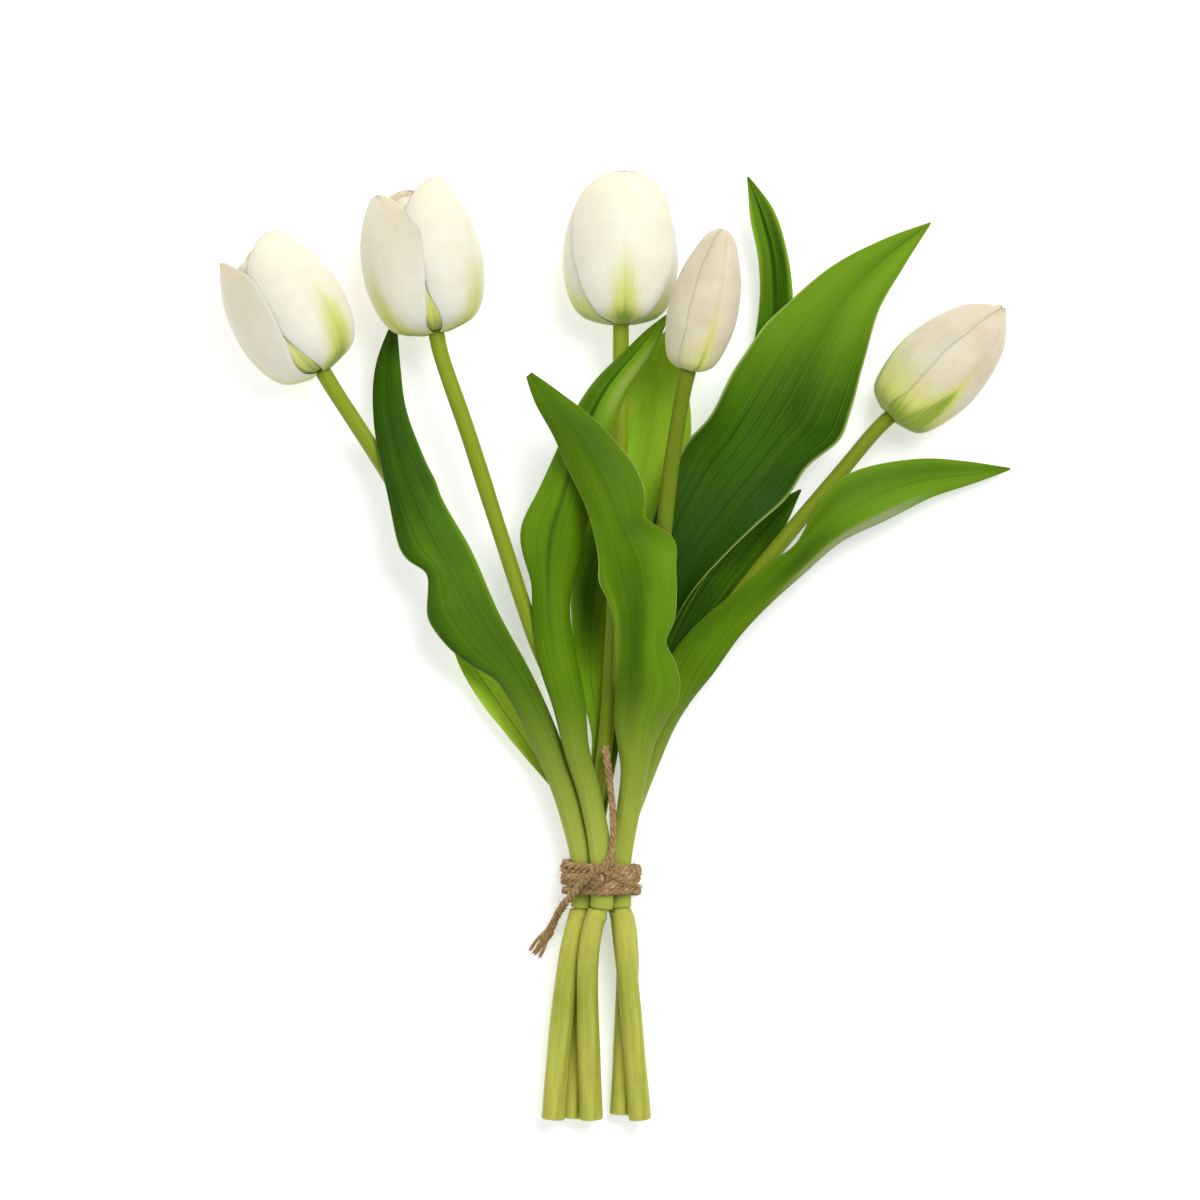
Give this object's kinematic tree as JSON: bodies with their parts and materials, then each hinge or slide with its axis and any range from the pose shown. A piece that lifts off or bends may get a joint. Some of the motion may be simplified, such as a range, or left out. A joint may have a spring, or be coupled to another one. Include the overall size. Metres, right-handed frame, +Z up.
{
  "type": "bunch of tulips",
  "caption": "Loose bunch of white tulips with long green leaves, tied round the stems with rough jute twine and lying on its back, for vases, tables, shop displays and still lifes.",
  "frame": {"origin": "On the surface that the bunch lies on, under the middle of its outline seen from above, the free twine ends left out.", "axes": "+Y runs from the cut ends to the blooms, +X to the right as the bunch is seen from above with its blooms up, and +Z is up, away from the surface."},
  "size_m": [0.3176, 0.3796, 0.0622],
  "materials": {
    "petal": "satin, thin and slightly translucent",
    "leaf": "waxy satin with fine parallel veins",
    "young_leaf": "waxy satin with fine parallel veins",
    "stem": "smooth satin plant stem",
    "twine": "rough twisted jute"
  },
  "bodies": {
    "root": {"leaf_back_narrow": "leaf", "leaf_back_wide": "young_leaf", "leaf_centre_folded": "leaf", "leaf_front": "leaf", "leaf_left_long": "leaf", "leaf_left_low": "young_leaf", "leaf_right_inner": "leaf", "leaf_right_large": "leaf", "leaf_right_trailing": "leaf", "petal_centre_inner_1": "petal", "petal_centre_inner_2": "petal", "petal_centre_inner_3": "petal", "petal_centre_outer_1": "petal", "petal_centre_outer_2": "petal", "petal_centre_outer_3": "petal", "petal_left_centre_inner_1": "petal", "petal_left_centre_inner_2": "petal", "petal_left_centre_inner_3": "petal", "petal_left_centre_outer_1": "petal", "petal_left_centre_outer_2": "petal", "petal_left_centre_outer_3": "petal", "petal_left_inner_1": "petal", "petal_left_inner_2": "petal", "petal_left_inner_3": "petal", "petal_left_outer_1": "petal", "petal_left_outer_2": "petal", "petal_left_outer_3": "petal", "petal_right_centre_inner_1": "petal", "petal_right_centre_inner_2": "petal", "petal_right_centre_inner_3": "petal", "petal_right_centre_outer_1": "petal", "petal_right_centre_outer_2": "petal", "petal_right_centre_outer_3": "petal", "petal_right_inner_1": "petal", "petal_right_inner_2": "petal", "petal_right_inner_3": "petal", "petal_right_outer_1": "petal", "petal_right_outer_2": "petal", "petal_right_outer_3": "petal", "stem_centre": "stem", "stem_left": "stem", "stem_left_centre": "stem", "stem_right": "stem", "stem_right_centre": "stem", "twine_end_long": "twine", "twine_end_short": "twine", "twine_knot": "twine", "twine_wraps": "twine"}
  },
  "joints": []
}
